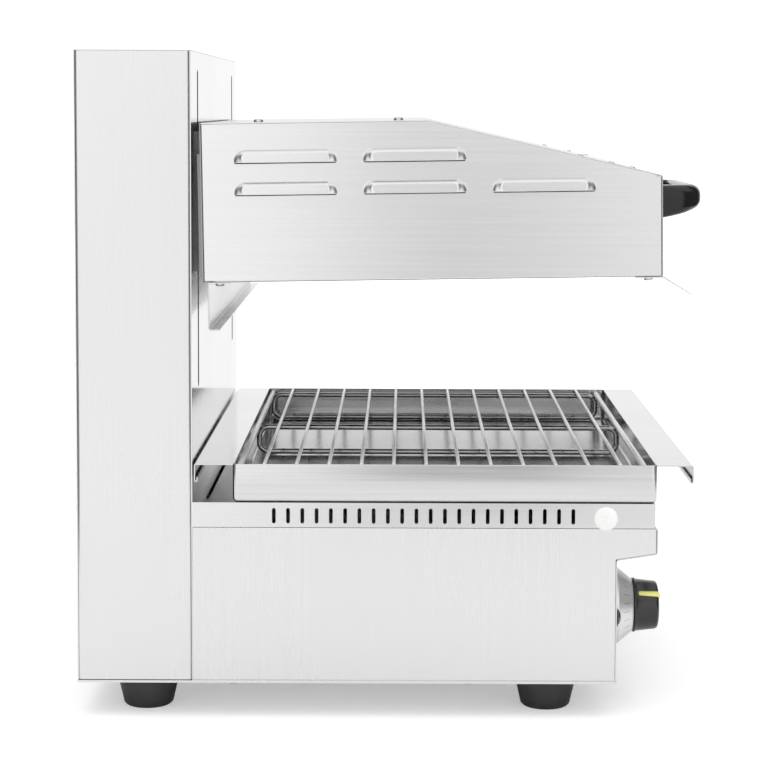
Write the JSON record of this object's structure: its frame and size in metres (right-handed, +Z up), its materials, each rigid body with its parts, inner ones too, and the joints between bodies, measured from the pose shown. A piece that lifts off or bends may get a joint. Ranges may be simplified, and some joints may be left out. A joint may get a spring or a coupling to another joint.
{
  "type": "lift salamander grill",
  "caption": "Counter-top cheese melter: a heated hood slides up and down a slotted column over a wire grid in a drip pan, on a base with a control knob.",
  "frame": {"origin": "middle of the bounding box's footprint, on the surface that the feet stand on", "axes": "+Z up, -Y towards the user (knob, handle), +X to the user's right"},
  "size_m": [0.4532, 0.5244, 0.53],
  "materials": {
    "casing_sheet": "fine vertical grain, satin",
    "hood_sheet": "fine lengthwise grain, satin",
    "pan_sheet": "bright, lightly brushed",
    "bright_sheet": "bright annealed sheet, near mirror",
    "zinc_bracket": "zinc-plated steel",
    "fastener": "stainless fastener",
    "nickel_wire": "nickel-plated wire",
    "ground_rod": "ground and hard-chromed rod",
    "black_rubber": "moulded rubber, matt",
    "black_gloss": "moulded phenolic, glossy",
    "black_plastic": "moulded nylon, matt",
    "black_lacquer": "black lacquered steel tube",
    "pointer_yellow": "pale yellow insert",
    "bezel_silver": "satin anodised",
    "lens_dark": "dark tinted lens, unlit",
    "white_plug": "white nylon",
    "regulator_case": "grey moulded case",
    "bush_bronze": "sintered bronze",
    "element_sheath": "oxidised heating tube",
    "ceramic": "glazed ceramic bead"
  },
  "bodies": {
    "stand": {"bottom_plate": "casing_sheet", "rubber_feet": "black_rubber", "foot_screws": "fastener", "base_left_side": "casing_sheet", "base_right_side": "casing_sheet", "control_panel": "casing_sheet", "deck": "casing_sheet", "hole_plugs": "white_plug", "column_left_side": "casing_sheet", "column_right_side": "casing_sheet", "column_front": "bright_sheet", "column_rear_cover": "casing_sheet", "column_top": "casing_sheet", "casing_screws": "fastener", "upper_crossbar": "zinc_bracket", "lower_crossbar": "zinc_bracket", "guide_rods": "ground_rod", "rod_collars": "zinc_bracket", "stop_buffers": "black_rubber", "gas_spring_cylinders": "black_lacquer", "fixing_nuts": "fastener", "energy_regulator": "regulator_case", "regulator_nut": "fastener", "scale_bezel": "bezel_silver", "pilot_lamp_rim": "black_gloss", "pilot_lens": "lens_dark", "terminal_block": "ceramic", "terminal_screws": "fastener", "cord_gland": "black_plastic", "gland_locknut": "black_plastic"},
    "hood": {"slider_blocks": "zinc_bracket", "guide_bushes": "bush_bronze", "carriage_beam": "zinc_bracket", "gas_spring_rods": "ground_rod", "upper_spring_nuts": "fastener", "lift_arms": "zinc_bracket", "arm_screws": "fastener", "arm_bolts": "fastener", "hood_left_side": "hood_sheet", "hood_right_side": "hood_sheet", "hood_top": "hood_sheet", "hood_front": "hood_sheet", "hood_rear": "hood_sheet", "hood_screws": "fastener", "hood_rivets": "fastener", "reflector": "bright_sheet", "heating_elements": "element_sheath", "element_terminals": "ceramic", "element_brackets": "zinc_bracket", "front_deflector": "hood_sheet", "rear_heat_shield": "hood_sheet", "handle": "black_gloss"},
    "pan": {"drip_pan": "pan_sheet"},
    "grid": {"grid_wires": "nickel_wire", "grid_loops": "nickel_wire"},
    "control_knob": {"knob": "black_gloss", "knob_pointer": "pointer_yellow", "control_shaft": "ground_rod"}
  },
  "joints": [
    {"name": "hood_lift", "type": "slide", "parent": "stand", "child": "hood", "axis": [0, 0, 1], "range_m": [-0.086, 0.042]},
    {"name": "pan_slide", "type": "slide", "parent": "stand", "child": "pan", "axis": [0, -1, 0], "range_m": [0, 0.25]},
    {"name": "grid_lift", "type": "slide", "parent": "pan", "child": "grid", "axis": [0, 0, 1], "range_m": [0, 0.045]},
    {"name": "regulator_turn", "type": "hinge", "parent": "stand", "child": "control_knob", "pos_m": [-0.163, -0.17632, 0.0775], "axis": [0, 1, 0], "range_deg": [-72, 198]}
  ]
}
